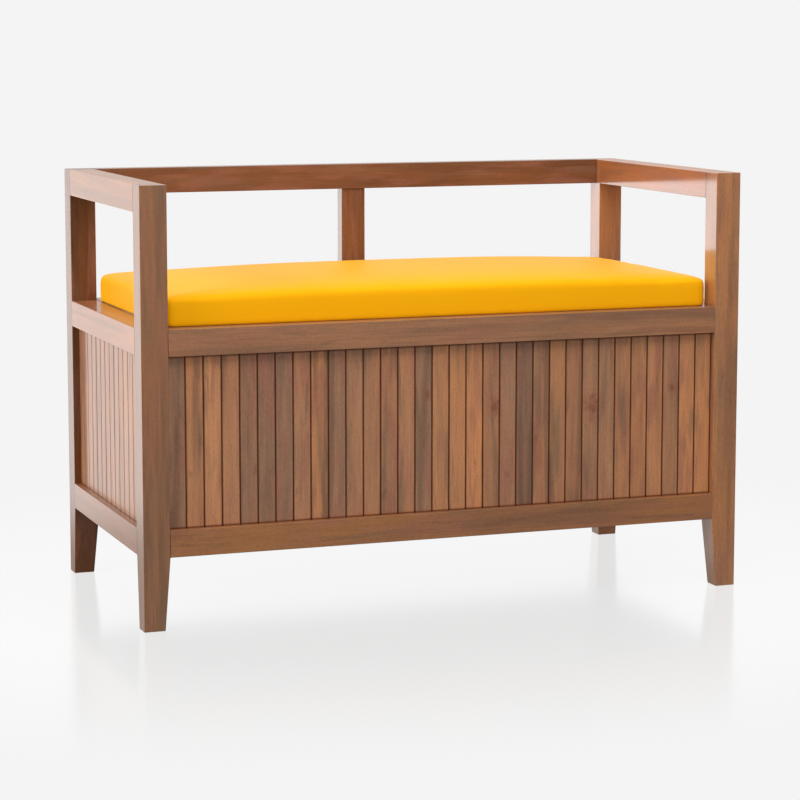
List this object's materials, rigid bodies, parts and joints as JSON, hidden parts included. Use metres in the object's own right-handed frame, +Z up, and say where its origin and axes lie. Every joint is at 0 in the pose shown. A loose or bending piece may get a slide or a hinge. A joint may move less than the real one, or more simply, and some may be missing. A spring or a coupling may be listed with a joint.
{
  "type": "storage bench",
  "caption": "Wooden bench with arms, an open back and a slatted storage box under a cushioned lid that turns up on pivot pins.",
  "frame": {"origin": "centre of the footprint of the four posts, on the floor", "axes": "+X to the right as seen from the front, +Y towards the open back, +Z up"},
  "size_m": [0.957, 0.472, 0.65],
  "materials": {
    "frame_wood": "satin lacquered reddish-brown hardwood",
    "slat_wood_1": "satin lacquered hardwood slat",
    "slat_wood_2": "satin lacquered hardwood slat",
    "slat_wood_3": "satin lacquered hardwood slat",
    "slat_wood_4": "satin lacquered hardwood slat",
    "board_wood": "sealed board",
    "pin_steel": "turned steel",
    "cushion_cloth": "smooth yellow woven cover"
  },
  "bodies": {
    "bench_frame": {"left_front_post": "frame_wood", "left_back_post": "frame_wood", "right_front_post": "frame_wood", "right_back_post": "frame_wood", "front_seat_rail": "frame_wood", "front_base_rail": "frame_wood", "back_seat_rail": "frame_wood", "back_base_rail": "frame_wood", "left_seat_rail": "frame_wood", "left_base_rail": "frame_wood", "right_seat_rail": "frame_wood", "right_base_rail": "frame_wood", "left_arm_rail": "frame_wood", "right_arm_rail": "frame_wood", "back_top_rail": "frame_wood", "back_mullion": "frame_wood", "front_slat_01": "slat_wood_1", "front_slat_02": "slat_wood_2", "front_slat_03": "slat_wood_1", "front_slat_04": "slat_wood_2", "front_slat_05": "slat_wood_1", "front_slat_06": "slat_wood_2", "front_slat_07": "slat_wood_1", "front_slat_08": "slat_wood_2", "front_slat_09": "slat_wood_1", "front_slat_10": "slat_wood_2", "front_slat_11": "slat_wood_1", "front_slat_12": "slat_wood_2", "front_slat_13": "slat_wood_1", "front_slat_14": "slat_wood_2", "front_slat_15": "slat_wood_1", "front_slat_16": "slat_wood_2", "front_slat_17": "slat_wood_1", "front_slat_18": "slat_wood_2", "front_slat_19": "slat_wood_1", "front_slat_20": "slat_wood_2", "front_slat_21": "slat_wood_1", "front_slat_22": "slat_wood_2", "front_slat_23": "slat_wood_1", "front_slat_24": "slat_wood_2", "front_slat_25": "slat_wood_1", "front_slat_26": "slat_wood_2", "front_slat_27": "slat_wood_1", "front_slat_28": "slat_wood_2", "front_slat_29": "slat_wood_1", "front_slat_30": "slat_wood_2", "front_slat_31": "slat_wood_1", "front_slat_32": "slat_wood_2", "left_panel": "slat_wood_1", "right_panel": "slat_wood_1", "back_panel": "board_wood", "floor_board": "board_wood", "front_cleat": "board_wood", "left_cleat": "board_wood", "right_cleat": "board_wood", "left_pivot_pin": "pin_steel", "right_pivot_pin": "pin_steel"},
    "lid": {"lid_board": "board_wood", "cushion": "cushion_cloth"}
  },
  "joints": [
    {"name": "lid_hinge", "type": "hinge", "parent": "bench_frame", "child": "lid", "pos_m": [0, 0.1405, 0.433], "axis": [-1, 0, 0], "range_deg": [0, 90]}
  ]
}
